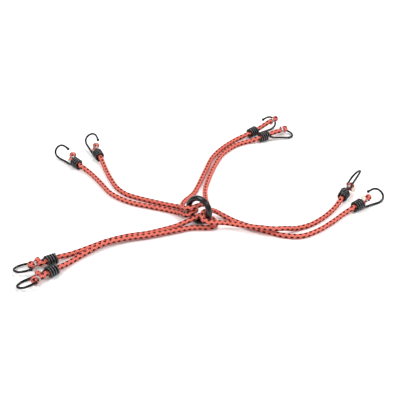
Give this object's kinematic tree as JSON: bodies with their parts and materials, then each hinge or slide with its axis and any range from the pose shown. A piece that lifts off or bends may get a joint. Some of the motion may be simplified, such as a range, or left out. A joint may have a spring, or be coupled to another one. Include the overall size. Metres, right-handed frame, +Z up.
{
  "type": "spider bungee strap",
  "caption": "Elastic luggage spider: braided cords folded through a centre ring, with coiled wire hooks at the ends.",
  "frame": {"origin": "on the surface, at the flat foot of the centre ring", "axes": "+Z up, +X to the right as the strap is looked at from its front, +Y away from the viewer"},
  "size_m": [0.4933, 0.3931, 0.0402],
  "materials": {
    "ring_plastic": "moulded satin black",
    "cord_braid": "coral red polyester braid with black flecks",
    "hook_wire": "satin black coating on steel wire",
    "band_steel": "bright zinc plate"
  },
  "bodies": {
    "root": {"centre_ring": "ring_plastic", "cord_a": "cord_braid", "cord_b": "cord_braid", "cord_c": "cord_braid", "cord_d": "cord_braid", "hook_a1": "hook_wire", "hook_a2": "hook_wire", "hook_b1": "hook_wire", "hook_b2": "hook_wire", "hook_c1": "hook_wire", "hook_c2": "hook_wire", "hook_d1": "hook_wire", "hook_d2": "hook_wire", "band_a1": "band_steel", "band_a2": "band_steel", "band_b1": "band_steel", "band_b2": "band_steel", "band_c1": "band_steel", "band_c2": "band_steel", "band_d1": "band_steel", "band_d2": "band_steel"}
  },
  "joints": []
}
